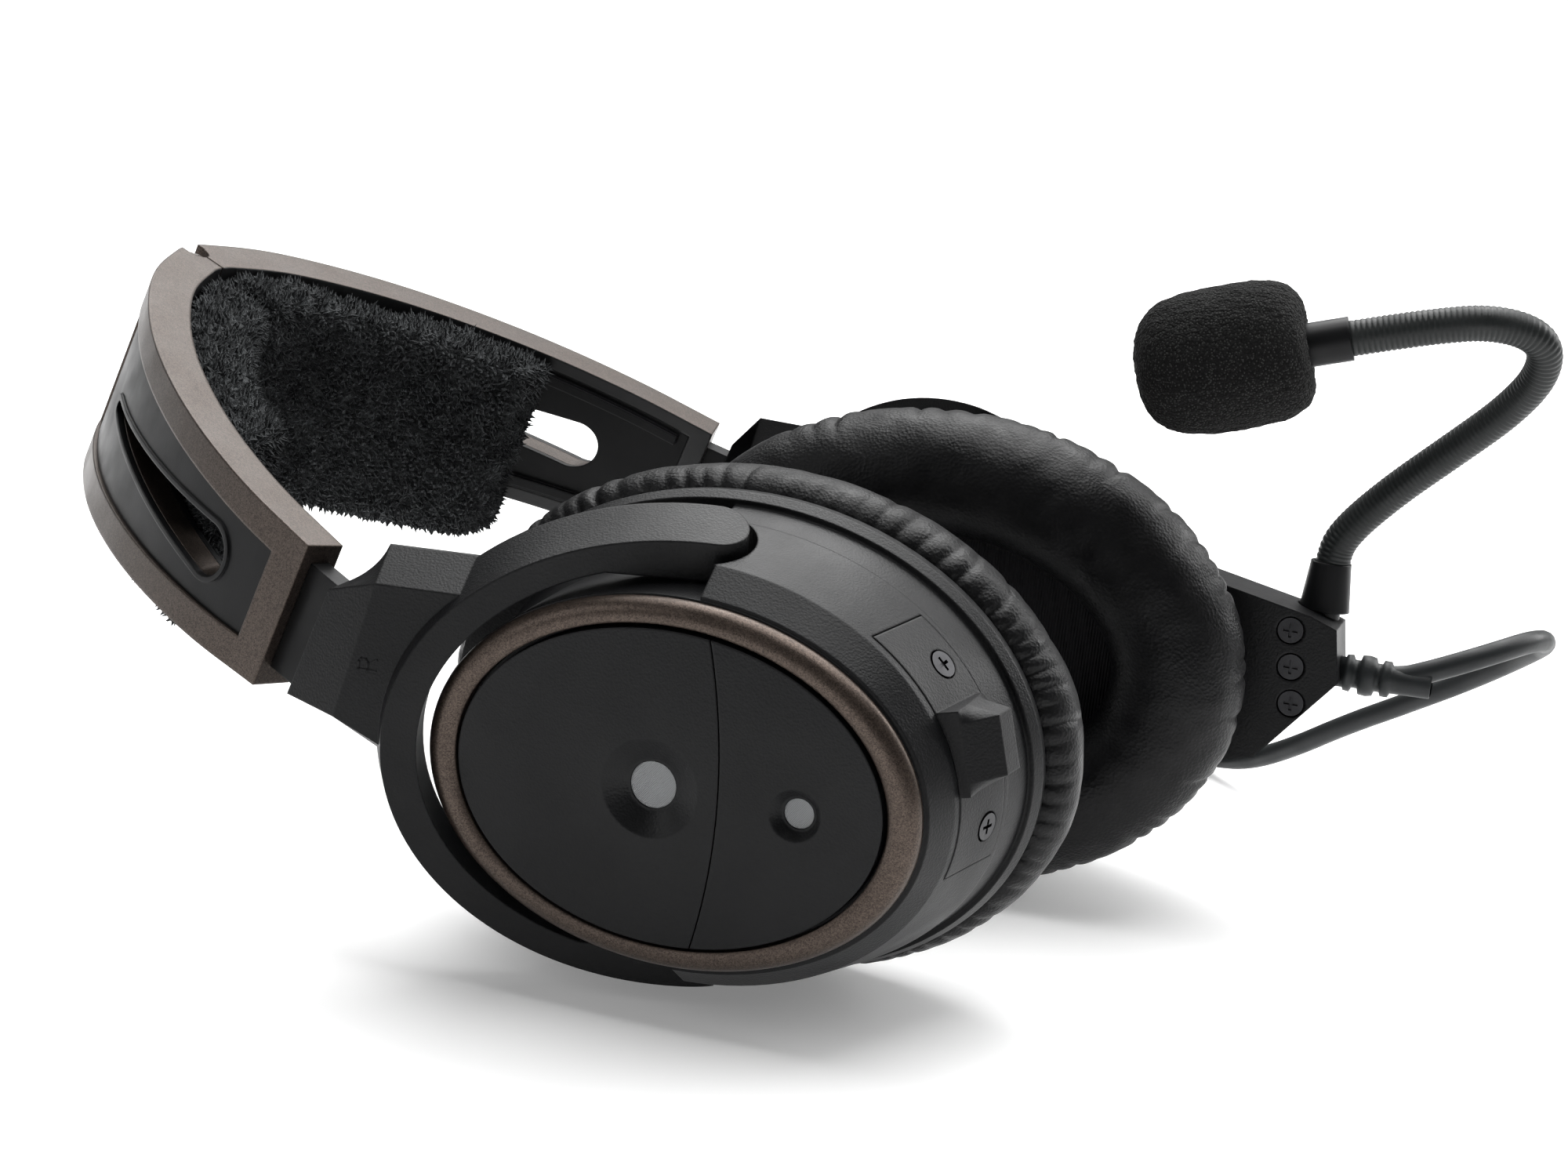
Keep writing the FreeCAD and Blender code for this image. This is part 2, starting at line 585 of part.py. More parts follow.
def tangent_path(points):
    """Straight runs joined by tangent arcs; returns the wire, its length and the radii."""
    edges = []
    radii = []
    last = points[0]
    for a, b, c in zip(points, points[1:], points[2:]):
        u = (a - b).normalize()
        w = (c - b).normalize()
        turn = math.pi - u.getAngle(w)
        cut = 0.45 * min((a - b).Length, (c - b).Length)
        radii.append(cut / math.tan(turn / 2))
        start = b + u * cut
        stop = b + w * cut
        centre = b + (u + w).normalize() * (radii[-1] / math.cos(turn / 2))
        middle = centre + (b - centre).normalize() * radii[-1]
        edges += [Part.LineSegment(last, start).toShape(), Part.Arc(start, middle, stop).toShape()]
        last = stop
    edges.append(Part.LineSegment(last, points[-1]).toShape())
    wire = Part.Wire(edges)
    return wire, wire.Length, radii


def tube(name, points, radius):
    wire, length, radii = tangent_path(points)
    profile = Part.Wire([Part.makeCircle(radius, points[0], points[1] - points[0])])
    solid = wire.makePipeShell([profile], True, False)
    ratio = solid.Volume / (math.pi * radius ** 2 * length)
    print(name, "length", round(length, 1), "radii", [round(r, 1) for r in radii], "volume ratio", round(ratio, 4))
    return solid


BOOM_POINTS = [(-68.8, 28.7, -64.5), (-68.3, 37.8, -72.4), (-67.0, 47.9, -83.1), (-65.0, 56.8, -92.4),
               (-62.0, 64.6, -98.2), (-57.5, 71.1, -99.0), (-53.0, 73.8, -93.2), (-49.0, 72.9, -83.9),
               (-44.2, 67.7, -67.1)]


FOAM_PROFILE = ((-3.0, 9.0), (0.5, 12.2), (6.0, 13.6), (18.0, 13.6), (25.0, 12.0), (29.0, 8.0))
SLEEVE_R = 3.9
SLEEVE_LENGTH = 9.0
CAPSULE_R = 4.8
CAPSULE_LENGTH = 9.0


def boom():
    n, f, u = COLLAR_BASE
    start = point_on_cup(n, f, u, "left")
    axis = point_on_cup(n, f + 1, u, "left") - start
    collar = rod(start - axis * COLLAR_DEPTH, start + axis * GOOSE_SEAT, COLLAR_R)
    collar = collar.fuse(cone(start + axis * COLLAR_CONE[0], start + axis * COLLAR_CONE[1], COLLAR_CONE_R, 3.7))
    points = [start + axis * GOOSE_SEAT, start + axis * 10.5] + [V(*p) for p in BOOM_POINTS]
    neck = tube("gooseneck", points, GOOSE_R)
    add("gooseneck", neck)
    add("boom_collar", one(collar.cut(neck)))
    tip = points[-1]
    way = (points[-1] - points[-2]).normalize()
    face = tip + way * SLEEVE_LENGTH
    add("mic_sleeve", rod(tip - way, face, SLEEVE_R).cut(rod(tip - way * 2.0, tip, GOOSE_R)))
    add("mic_capsule", rod(face, face + way * CAPSULE_LENGTH, CAPSULE_R))
    foam = loft([Part.Wire([Part.makeCircle(r, face + way * d, way)]) for d, r in FOAM_PROFILE])
    foam = foam.cut(rod(face - way * 8, face, SLEEVE_R + 0.1))
    foam = foam.cut(rod(face, face + way * CAPSULE_LENGTH, CAPSULE_R))
    add("foam_windscreen", foam)


# ---------------------------------------------------------------- the cable
CABLE_POINTS = [(-69.0, 6.5, -84.0), (-74.5, 10.5, -93.0), (-85.0, 12.5, -98.5), (-98.0, 9.5, -98.0),
                (-108.5, 3.5, -91.0), (-115.0, -4.5, -80.0), (-119.5, -12.5, -67.5), (-123.5, -20.5, -54.5),
                (-129.0, -29.0, -42.5), (-137.5, -35.8, -31.0), (-147.0, -39.2, -19.5), (-157.2, -39.8, -7.2)]
COIL_CENTRE = (-140.2, 9.8)
COIL_TURNS = 8
PLUG_START = 20.0                   # where the plug's tail leaves the coil
TAIL_LENGTH = 12.0
PLUG_R = 7.0
NOSE_R = 5.5
PLUG_LENGTH = 22.0
NOSE_LENGTH = 8.0


def cable():
    n, f, u = RELIEF_BASE
    root = point_on_cup(n, f, u + RELIEF_DEPTH, "left")
    aim = point_on_cup(n, f, u + RELIEF_DEPTH - 1.0, "left") - root
    relief = rod(root, root + aim * 7.0, RELIEF_R)
    relief = relief.fuse(cone(root + aim * 7.0, root + aim * 22.0, 3.7, 2.6))
    relief = relief.cut(rod(root - aim, root + aim * 23.0, CABLE_R))
    add("cable_strain_relief", relief)
    cx, cz = COIL_CENTRE
    points = [root + aim * 1.0, root + aim * 16.0] + [V(*p) for p in CABLE_POINTS]
    length = tangent_path(points)[1]
    add("cable", tube("cable", points, CABLE_R))
    outer = Part.makeCylinder(COIL_R + COIL_HALF_WIDTH, COIL_HEIGHT, V(cx, FLOOR_Y, cz), V(0, 1, 0))
    inner = Part.makeCylinder(COIL_R - COIL_HALF_WIDTH, COIL_HEIGHT, V(cx, FLOOR_Y, cz), V(0, 1, 0))
    add("cable_coil", outer.cut(inner))
    coil_exit = V(cx - COIL_R, FLOOR_Y + PLUG_R, cz + PLUG_START)
    way = V(0, 0, 1)
    plug = cone(coil_exit, coil_exit + way * TAIL_LENGTH, CABLE_R + 0.6, CABLE_R + 1.8)
    front = coil_exit + way * (TAIL_LENGTH + PLUG_LENGTH)
    plug = plug.fuse(rod(coil_exit + way * TAIL_LENGTH, front, PLUG_R))
    add("cable_connector", plug.fuse(rod(front, front + way * NOSE_LENGTH, NOSE_R)))
    print("cable with its coil", round(COIL_TURNS * 2 * math.pi * COIL_R + length))


# ---------------------------------------------------------------- build, lay down and write
for hand in ("right", "left"):
    headband(hand)
    yoke(hand)
    housing(hand)
    trim_ring(hand)
    face_plates(hand)
    cup_inside(hand)
crown_hinge()
port_cover_right()
boom_module()
boom()
cable()

CORD_NODES = ("cable", "cable_coil", "cable_connector", "cable_strain_relief")


def laid_down(shape):
    out = shape.copy()
    out.rotate(V(0, 0, 0), V(1, 0, 0), 90)
    out.translate(ROW_SHIFT)
    return out


extent = FreeCAD.BoundBox()
for name, solids in sorted(PARTS.items()):
    shape = solids[0] if len(solids) == 1 else Part.makeCompound(solids)
    shape = laid_down(shape)
    if name not in CORD_NODES:
        extent.add(shape.BoundBox)
    if not shape.isValid():
        print("not valid:", name)
    shape.exportStep("parts/" + name + ".step")
print("object without the cord", extent)
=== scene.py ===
"""The finished look of an aviation headset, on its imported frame. Metres, as the set lies on its cups."""
import json
import math
import random

import bmesh
import bpy
from mathutils import Matrix, Vector, noise


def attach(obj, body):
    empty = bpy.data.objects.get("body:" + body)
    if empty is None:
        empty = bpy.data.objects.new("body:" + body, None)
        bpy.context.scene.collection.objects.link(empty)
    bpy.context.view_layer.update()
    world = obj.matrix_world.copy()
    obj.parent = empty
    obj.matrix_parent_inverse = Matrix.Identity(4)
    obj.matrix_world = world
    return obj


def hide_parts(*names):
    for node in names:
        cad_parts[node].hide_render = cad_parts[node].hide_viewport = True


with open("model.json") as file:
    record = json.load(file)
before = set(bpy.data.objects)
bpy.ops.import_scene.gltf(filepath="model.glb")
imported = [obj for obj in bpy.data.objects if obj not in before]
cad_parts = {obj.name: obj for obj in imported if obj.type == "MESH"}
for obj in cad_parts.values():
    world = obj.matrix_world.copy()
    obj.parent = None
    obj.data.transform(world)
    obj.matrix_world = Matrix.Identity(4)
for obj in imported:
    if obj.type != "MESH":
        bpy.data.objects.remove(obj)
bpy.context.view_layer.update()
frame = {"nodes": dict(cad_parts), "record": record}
NODES = frame["nodes"]
scene = bpy.context.scene

# ------------------------------------------------------------ camera, floor and lights
CAMERA_AT = Vector((0.65859, 0.29761, 0.22314))
CAMERA_AIM = Vector((0.03329, 0.02541, 0.06529))
CAMERA_ROLL = 6.11
CAMERA_LENS = 96.7
LAMPS = [                            # name, place, what it points at, side in metres, watts
    ("overhead", (-0.30, 0.05, 1.25), (0.0, 0.0, 0.03), 1.3, 24),
    ("rear_rim", (-1.10, 0.75, 0.70), (-0.05, 0.0, 0.06), 0.8, 12),
    ("front_fill", (1.00, -0.85, 0.65), (0.05, 0.0, 0.05), 0.7, 3),
    ("far_floor", (-1.9, -0.9, 1.7), (-1.9, -0.9, 0.0), 2.4, 60)]
ROOM_GLOW = 0.13
PAPER = (0.92, 0.92, 0.92)
PAPER_GLOW = 0.2


def make_camera():
    data = bpy.data.cameras.new("camera")
    data.lens = CAMERA_LENS
    data.sensor_width = 36
    data.clip_start = 0.01
    camera = bpy.data.objects.new("camera", data)
    facing = (CAMERA_AIM - CAMERA_AT).to_track_quat("-Z", "Y").to_matrix().to_4x4()
    camera.matrix_world = Matrix.Translation(CAMERA_AT) @ facing @ turn(CAMERA_ROLL, "Z")
    scene.collection.objects.link(camera)
    scene.camera = camera


def softbox(name, at, aim, size, watts):
    data = bpy.data.lights.new(name, "AREA")
    data.shape = "SQUARE"
    data.size = size
    data.energy = watts
    lamp = bpy.data.objects.new(name, data)
    facing = (Vector(aim) - Vector(at)).to_track_quat("-Z", "Y").to_matrix().to_4x4()
    lamp.matrix_world = Matrix.Translation(Vector(at)) @ facing
    scene.collection.objects.link(lamp)


def make_studio():
    bm = bmesh.new()
    bmesh.ops.create_grid(bm, x_segments=2, y_segments=2, size=6.0)
    mesh = bpy.data.meshes.new("floor")
    bm.to_mesh(mesh)
    bm.free()
    floor = bpy.data.objects.new("floor", mesh)
    scene.collection.objects.link(floor)
    paper = plain("studio_floor", PAPER, 0.7)
    shader_of(paper).inputs["Emission Color"].default_value = (1.0, 1.0, 1.0, 1)
    shader_of(paper).inputs["Emission Strength"].default_value = PAPER_GLOW
    mesh.materials.append(paper)
    world = bpy.data.worlds.new("studio")
    world.use_nodes = True
    world.node_tree.nodes["Background"].inputs["Color"].default_value = (1.0, 1.0, 1.0, 1)
    world.node_tree.nodes["Background"].inputs["Strength"].default_value = ROOM_GLOW
    scene.world = world
    scene.view_settings.view_transform = "Standard"
    for lamp in LAMPS:
        softbox(*lamp)


# ------------------------------------------------------------ finishes
HEAD_CENTRE = (0.0, 0.011, 0.037)    # the middle of the headband's arch
BLACK = (0.0042, 0.0044, 0.005)      # the moulded plastic's colour
INSIDE_SHADE_BLACK = (0.008, 0.0082, 0.009)  # painted shade: black for the headband's faces turned to the head, darkening its inside and slot
TURNED_IN = (0.42, 0.5)              # how far a face turns to the head before the enamel gives way to painted shade


def plain(name, colour, roughness, metallic=0.0, specular=0.5):
    m = bpy.data.materials.new(name)
    m.use_nodes = True
    shader = m.node_tree.nodes["Principled BSDF"]
    shader.inputs["Base Color"].default_value = (*colour, 1)
    shader.inputs["Roughness"].default_value = roughness
    shader.inputs["Metallic"].default_value = metallic
    shader.inputs["Specular IOR Level"].default_value = specular
    return m


def shader_of(m):
    return m.node_tree.nodes["Principled BSDF"]


def rounded(m, radius):
    """Softens the look of a hard piece's edges over a radius in metres."""
    edge = m.node_tree.nodes.new("ShaderNodeBevel")
    edge.samples = 6
    edge.inputs["Radius"].default_value = radius
    m.node_tree.links.new(edge.outputs["Normal"], shader_of(m).inputs["Normal"])


def texture(m, kind, scale, stretch=(1, 1, 1), turn=(0, 0, 0), **values):
    """A pattern in the piece's own coordinates; scale is repeats per metre."""
    tree = m.node_tree
    place = tree.nodes.get("place")
    if place is None:
        place = tree.nodes.new("ShaderNodeTexCoord")
        place.name = "place"
    mapping = tree.nodes.new("ShaderNodeMapping")
    mapping.inputs["Scale"].default_value = stretch
    mapping.inputs["Rotation"].default_value = turn
    tree.links.new(place.outputs["Object"], mapping.inputs["Vector"])
    pattern = tree.nodes.new(kind)
    tree.links.new(mapping.outputs["Vector"], pattern.inputs["Vector"])
    pattern.inputs["Scale"].default_value = scale
    for key, value in values.items():
        if key in pattern.inputs:
            pattern.inputs[key].default_value = value
        else:
            setattr(pattern, key, value)
    return pattern


def relief(m, pattern, depth, output=None):
    """Raises the surface by a pattern, on top of the relief it already has; depth in metres."""
    tree = m.node_tree
    bump = tree.nodes.new("ShaderNodeBump")
    bump.inputs["Distance"].default_value = depth
    tree.links.new(pattern.outputs[output or pattern.outputs[0].name], bump.inputs["Height"])
    normal = shader_of(m).inputs["Normal"]
    if normal.is_linked:
        tree.links.new(normal.links[0].from_socket, bump.inputs["Normal"])
    tree.links.new(bump.outputs["Normal"], normal)


def spread(m, pattern, socket, low, high, start=0.3, stop=0.7, output=None):
    """Varies one of the shader's inputs between two values or colours by a pattern."""
    tree = m.node_tree
    ramp = tree.nodes.new("ShaderNodeValToRGB")
    for stop_point, place, value in zip(ramp.color_ramp.elements, (start, stop), (low, high)):
        stop_point.position = place
        stop_point.color = (*value, 1) if isinstance(value, tuple) else (value, value, value, 1)
    tree.links.new(pattern.outputs[output or pattern.outputs[0].name], ramp.inputs["Fac"])
    tree.links.new(ramp.outputs["Color"], shader_of(m).inputs[socket])


NOISE, CELLS, WAVES = "ShaderNodeTexNoise", "ShaderNodeTexVoronoi", "ShaderNodeTexWave"


def bronze_enamel(name, colour):
    m = plain(name, colour, 0.36, 0.75)
    rounded(m, 0.0006)
    flakes = texture(m, CELLS, 5200)
    dark = tuple(v * 0.55 for v in colour)
    light = tuple(min(1, v * 1.75) for v in colour)
    spread(m, flakes, "Base Color", dark, light, 0.05, 0.95, "Color")
    spread(m, texture(m, NOISE, 90, Detail=4.0), "Roughness", 0.30, 0.44)
    relief(m, flakes, 0.000012, "Distance")
    relief(m, texture(m, NOISE, 700, Detail=3.0), 0.00002)
    return m


def painted_shade_inside(m):
    """The headband's enamel gives way to black painted shade on the faces turned towards the wearer's head,
    darkening its inside and slot.
    """
    tree = m.node_tree
    place = tree.nodes["place"]
    shader = shader_of(m)
    inwards = tree.nodes.new("ShaderNodeVectorMath")
    inwards.operation = "SUBTRACT"
    inwards.inputs[0].default_value = HEAD_CENTRE
    tree.links.new(place.outputs["Object"], inwards.inputs[1])
    way = tree.nodes.new("ShaderNodeVectorMath")
    way.operation = "NORMALIZE"
    tree.links.new(inwards.outputs["Vector"], way.inputs[0])
    facing = tree.nodes.new("ShaderNodeVectorMath")
    facing.operation = "DOT_PRODUCT"
    tree.links.new(way.outputs["Vector"], facing.inputs[0])
    tree.links.new(place.outputs["Normal"], facing.inputs[1])
    edge = tree.nodes.new("ShaderNodeMapRange")
    edge.inputs["From Min"].default_value = TURNED_IN[0]
    edge.inputs["From Max"].default_value = TURNED_IN[1]
    tree.links.new(facing.outputs["Value"], edge.inputs["Value"])
    # painted shade: inward faces become black and non-metallic
    for socket, black in (("Base Color", (*INSIDE_SHADE_BLACK, 1)), ("Metallic", 0.0)):
        mix = tree.nodes.new("ShaderNodeMix")
        mix.data_type = "RGBA" if socket == "Base Color" else "FLOAT"
        before, after = [i for i in mix.inputs if i.enabled and i.name in ("A", "B")]
        if shader.inputs[socket].is_linked:
            tree.links.new(shader.inputs[socket].links[0].from_socket, before)
        else:
            before.default_value = shader.inputs[socket].default_value
        after.default_value = black
        tree.links.new(edge.outputs["Result"], mix.inputs[0])
        tree.links.new([o for o in mix.outputs if o.enabled][0], shader.inputs[socket])
    return m


def grained_plastic(name):
    m = plain(name, BLACK, 0.42, specular=0.2)
    rounded(m, 0.0005)
    relief(m, texture(m, CELLS, 2500, feature="SMOOTH_F1", Smoothness=0.7), 0.00004, "Distance")
    relief(m, texture(m, NOISE, 5500, Detail=3.0), 0.00002)
    spread(m, texture(m, NOISE, 60, Detail=4.0), "Roughness", 0.35, 0.49)
    return m


def satin_plastic(name, colour=BLACK, roughness=0.38):
    m = plain(name, colour, roughness, specular=0.2)
    rounded(m, 0.0004)
    spread(m, texture(m, NOISE, 130, Detail=5.0), "Roughness", roughness - 0.06, roughness + 0.06)
    relief(m, texture(m, NOISE, 4500, Detail=2.0), 0.000012)
    return m


def leather(name):
    m = plain(name, (0.0028, 0.0029, 0.0034), 0.44, specular=0.2)
    relief(m, texture(m, NOISE, 130, Detail=4.0), 0.00016)
    relief(m, texture(m, CELLS, 1700, feature="F1", Randomness=1.0), 0.00008, "Distance")
    relief(m, texture(m, NOISE, 3200, Detail=3.0), 0.00004)
    spread(m, texture(m, NOISE, 220, Detail=5.0), "Roughness", 0.36, 0.54)
    return m


def fleece(name):
    m = plain(name, (0.008, 0.008, 0.0085), 0.95, specular=0.2)
    shader_of(m).inputs["Sheen Weight"].default_value = 0.5
    shader_of(m).inputs["Sheen Roughness"].default_value = 0.45
    shader_of(m).inputs["Sheen Tint"].default_value = (0.55, 0.58, 0.6, 1)
    spread(m, texture(m, NOISE, 260, Detail=7.0), "Base Color", (0.003, 0.003, 0.0035), (0.034, 0.036, 0.037))
    relief(m, texture(m, NOISE, 2200, Detail=4.0), 0.0004)
    return m


def open_foam(name):
    m = plain(name, (0.014, 0.0145, 0.014), 0.85, specular=0.2)
    cells = texture(m, CELLS, 2100)
    spread(m, cells, "Base Color", (0.048, 0.049, 0.047), (0.004, 0.004, 0.004), 0.08, 0.42, "Distance")
    relief(m, cells, 0.0004, "Distance")
    relief(m, texture(m, NOISE, 1500, Detail=4.0), 0.0003)
    return m


def rubber(name, colour, roughness):
    m = plain(name, colour, roughness, specular=0.3)
    relief(m, texture(m, NOISE, 2600, Detail=3.0), 0.00003)
    spread(m, texture(m, NOISE, 160, Detail=4.0), "Roughness", roughness - 0.08, roughness + 0.1)
    return m


def bare_metal(name, colour, roughness, brushed=False):
    m = plain(name, colour, roughness, 1.0)
    stretch = (1, 14, 14) if brushed else (1, 1, 1)
    spread(m, texture(m, NOISE, 260, stretch, Detail=4.0), "Roughness", roughness - 0.08, roughness + 0.1)
    relief(m, texture(m, NOISE, 1800, stretch, Detail=3.0), 0.00001)
    return m


def woven_mesh(name):
    m = plain(name, (0.34, 0.35, 0.36), 0.45, 0.35)
    lines = texture(m, WAVES, 1900, turn=(0.0, 0.8, 0.7), bands_direction="Y", wave_profile="SIN")
    spread(m, lines, "Base Color", (0.24, 0.245, 0.25), (0.44, 0.45, 0.46), 0.2, 0.8)
    relief(m, lines, 0.00008)
    return m


def knit_cloth(name):
    m = plain(name, (0.01, 0.01, 0.011), 0.9, specular=0.2)
    relief(m, texture(m, WAVES, 600, bands_direction="Y"), 0.00015)
    relief(m, texture(m, WAVES, 600, bands_direction="X"), 0.00015)
    return m


def solder_mask(name):
    m = plain(name, (0.004, 0.035, 0.016), 0.3)
    tracks = texture(m, CELLS, 240, feature="DISTANCE_TO_EDGE")
    spread(m, tracks, "Base Color", (0.01, 0.09, 0.035), (0.004, 0.035, 0.016), 0.02, 0.05, "Distance")
    relief(m, tracks, 0.00004, "Distance")
    return m


def make_finishes():
    return {
        "frame_enamel": painted_shade_inside(bronze_enamel("frame_enamel", (0.056, 0.044, 0.037))),
        "trim_bronze": bronze_enamel("trim_bronze", (0.058, 0.044, 0.036)),
        "grained_black": grained_plastic("grained_black"),
        "satin_black": satin_plastic("satin_black"),
        "cushion_leather": leather("cushion_leather"),
        "fleece": fleece("fleece"),
        "foam": open_foam("foam"),
        "gooseneck_rubber": rubber("gooseneck_rubber", (0.012, 0.014, 0.014), 0.42),
        "cable_rubber": rubber("cable_rubber", (0.013, 0.015, 0.016), 0.48),
        "steel": bare_metal("steel", (0.50, 0.49, 0.47), 0.3, brushed=True),
        "screw_steel": bare_metal("screw_steel", (0.035, 0.035, 0.037), 0.34),
        "connector_metal": bare_metal("connector_metal", (0.20, 0.20, 0.195), 0.35),
        "mesh_steel": woven_mesh("mesh_steel"),
        "driver_plastic": satin_plastic("driver_plastic", (0.05, 0.05, 0.05), 0.5),
        "board_green": solder_mask("board_green"),
        "scrim_cloth": knit_cloth("scrim_cloth"),
    }


def finish_cad_nodes(finishes):
    slots = {row["node"]: row["material_slot"] for row in frame["record"]["subparts"]}
    for name, piece in NODES.items():
        piece.data.materials.clear()
        piece.data.materials.append(finishes[slots[name]])


# ------------------------------------------------------------ where the set's own frames lie
PIVOT = {"right": (61.1, -0.8, 2.7), "left": (60.077, 0.245, 5.880)}
TOE = 3.4
FORK_LEAN = 23.0
CUP_LEAN = {"right": 4.6, "left": -10.4}
CUP_PIVOT = (13.5, 0.0, 3.8)
RAKE = 18.2
BAND_Y = -10.5


def turn(degrees, axis):
    return Matrix.Rotation(math.radians(degrees), 4, axis)


def laid_down(side):
    """From the wearer's frame in millimetres, drawn for the right side, to the set as it lies."""
    hand = Matrix.Scale(-1, 4, (1, 0, 0)) if side == "left" else Matrix.Identity(4)
    return Matrix.Translation((0.00016, 0.02558, 0.0422)) @ turn(90, "X") @ Matrix.Scale(0.001, 4) @ hand


def cup_place(side):
    lean = turn(-TOE, "Z") @ turn(CUP_LEAN[side], "Y")
    return laid_down(side) @ Matrix.Translation(PIVOT[side]) @ lean @ Matrix.Translation(-Vector(CUP_PIVOT))


def fork_place(side):
    return laid_down(side) @ Matrix.Translation(PIVOT[side]) @ turn(-TOE, "Z") @ turn(FORK_LEAN, "Y")


def band_place(side):
    return laid_down(side) @ Matrix.Translation((0, BAND_Y, 0)) @ turn(-RAKE, "X")


def worn(x, y, z):
    """A point of the wearer's frame in millimetres, in the set's metres."""
    return laid_down("right") @ Vector((x, y, z))


# ------------------------------------------------------------ making pieces
def piece_from(name, bm, finish, place=None, smooth=True):
    if place is not None:
        bm.transform(place)
    bmesh.ops.remove_doubles(bm, verts=bm.verts, dist=1e-7)
    bmesh.ops.recalc_face_normals(bm, faces=bm.faces)
    mesh = bpy.data.meshes.new(name)
    bm.to_mesh(mesh)
    bm.free()
    for polygon in mesh.polygons:
        polygon.use_smooth = smooth
    mesh.materials.append(finish)
    piece = bpy.data.objects.new(name, mesh)
    scene.collection.objects.link(piece)
    return piece


def lathe(points, steps=48):
    """Spins a line of (distance along, radius) points round the X axis."""
    bm = bmesh.new()
    ring = [bm.verts.new((x, 0.0, r)) for x, r in points]
    edges = [bm.edges.new(pair) for pair in zip(ring, ring[1:])]
    bmesh.ops.spin(bm, geom=ring + edges, cent=(0, 0, 0), axis=(1, 0, 0), angle=math.tau, steps=steps,
                   use_merge=True, use_duplicate=False)
    bmesh.ops.remove_doubles(bm, verts=bm.verts, dist=1e-6)
    return bm


def settle(piece):
    """Turns the piece's modifiers into plain mesh."""
    bpy.context.view_layer.update()
    made = bpy.data.meshes.new_from_object(piece.evaluated_get(bpy.context.evaluated_depsgraph_get()))
    piece.modifiers.clear()
    old = piece.data
    piece.data = made
    bpy.data.meshes.remove(old)
    return piece


def subdivided(piece, levels):
    smooth = piece.modifiers.new("smooth", "SUBSURF")
    smooth.levels = levels
    smooth.render_levels = levels
    return settle(piece)


def along(start, way):
    """The place of a piece drawn along X, in metres, put at start along way."""
    return Matrix.Translation(start) @ Vector(way).to_track_quat("X", "Z").to_matrix().to_4x4()


def spline(name, points):
    curve = bpy.data.curves.new(name, "CURVE")
    curve.dimensions = "3D"
    curve.resolution_u = 8
    line = curve.splines.new("NURBS")
    line.points.add(len(points) - 1)
    for point, at in zip(line.points, points):
        point.co = (*at, 1)
    line.order_u = 3
    line.use_endpoint_u = True
    piece = bpy.data.objects.new(name, curve)
    scene.collection.objects.link(piece)
    return piece


def length_of(line):
    mesh = bpy.data.meshes.new_from_object(line)
    ends = [[mesh.vertices[k].co for k in edge.vertices] for edge in mesh.edges]
    total = sum((b - a).length for a, b in ends)
    bpy.data.meshes.remove(mesh)
    return total


def bent_along(piece, line):
    bend = piece.modifiers.new("bend", "CURVE")
    bend.object = line
    bend.deform_axis = "POS_X"
    return settle(piece)


# ------------------------------------------------------------ the cable, its coil and its plug
FLOOR_Y = -42.2
CABLE_R = 2.05
RELIEF_ROOT = Vector((-0.0640, 0.0875, 0.0464))
RELIEF_WAY = Vector((-0.1767, 0.9842, -0.0107)).normalized()
CABLE_EXIT = RELIEF_ROOT + RELIEF_WAY * 0.007
CABLE_ROUTE = [(-0.0688, 0.1096, 0.0487), (-0.0743, 0.1186, 0.0527), (-0.0848, 0.1241, 0.0547),
               (-0.0978, 0.1236, 0.0517), (-0.1083, 0.1166, 0.0457), (-0.1148, 0.1056, 0.0377),
               (-0.1193, 0.0931, 0.0297), (-0.1233, 0.0801, 0.0217), (-0.1288, 0.0681, 0.0132),
               (-0.1373, 0.0566, 0.0064), (-0.1468, 0.0451, 0.0030)]
COIL_CENTRE = (-140.2, 9.8)
COIL_RADII = (28.2, 24.0, 19.8)
# each turn's place: which of the radii it lies on, and which layer
COIL_TURNS = [(0, 0), (1, 0), (2, 0), (2, 1), (2, 2), (1, 2), (1, 1), (0, 1)]
COIL_START = -128.0
LAST_ARC = 52.0                      # degrees that the cable goes on past its last whole turn
POINTS_A_TURN = 14
PLUG_BACK = worn(-164.2, FLOOR_Y + 7.0, 29.8)
PLUG_PROFILE = [(0, 2.2), (0, 3.3), (1.6, 3.4), (2.0, 2.9), (3.0, 2.9), (3.4, 3.8), (5.2, 3.9), (5.6, 3.3),
                (6.8, 3.3), (7.2, 4.3), (9.6, 4.5), (10.2, 5.4), (11.6, 6.5), (12.4, 6.9), (15.0, 7.0),
                (15.3, 6.6), (16.0, 6.6), (16.3, 7.0), (18.0, 7.0), (18.3, 6.6), (19.0, 6.6), (19.3, 7.0),
                (21.0, 7.0), (21.3, 6.6), (22.0, 6.6), (22.3, 7.0), (32.6, 7.0), (33.4, 6.6), (34.0, 5.5),
                (41.6, 5.5), (42.0, 5.1), (42.0, 4.5), (36.0, 4.4), (36.0, 0.0)]
RELIEF_PROFILE = [(-2, 2.1), (-2, 2.8), (0.3, 2.8), (0.5, 3.3), (1.6, 3.4), (2.0, 2.6), (3.0, 2.6),
                  (3.3, 3.6), (4.6, 3.75), (5.8, 3.5), (6.1, 2.6), (7.0, 2.6), (7.3, 3.3), (8.6, 3.3),
                  (9.0, 2.5), (10.5, 2.45), (16.0, 2.25), (16.2, 2.0)]


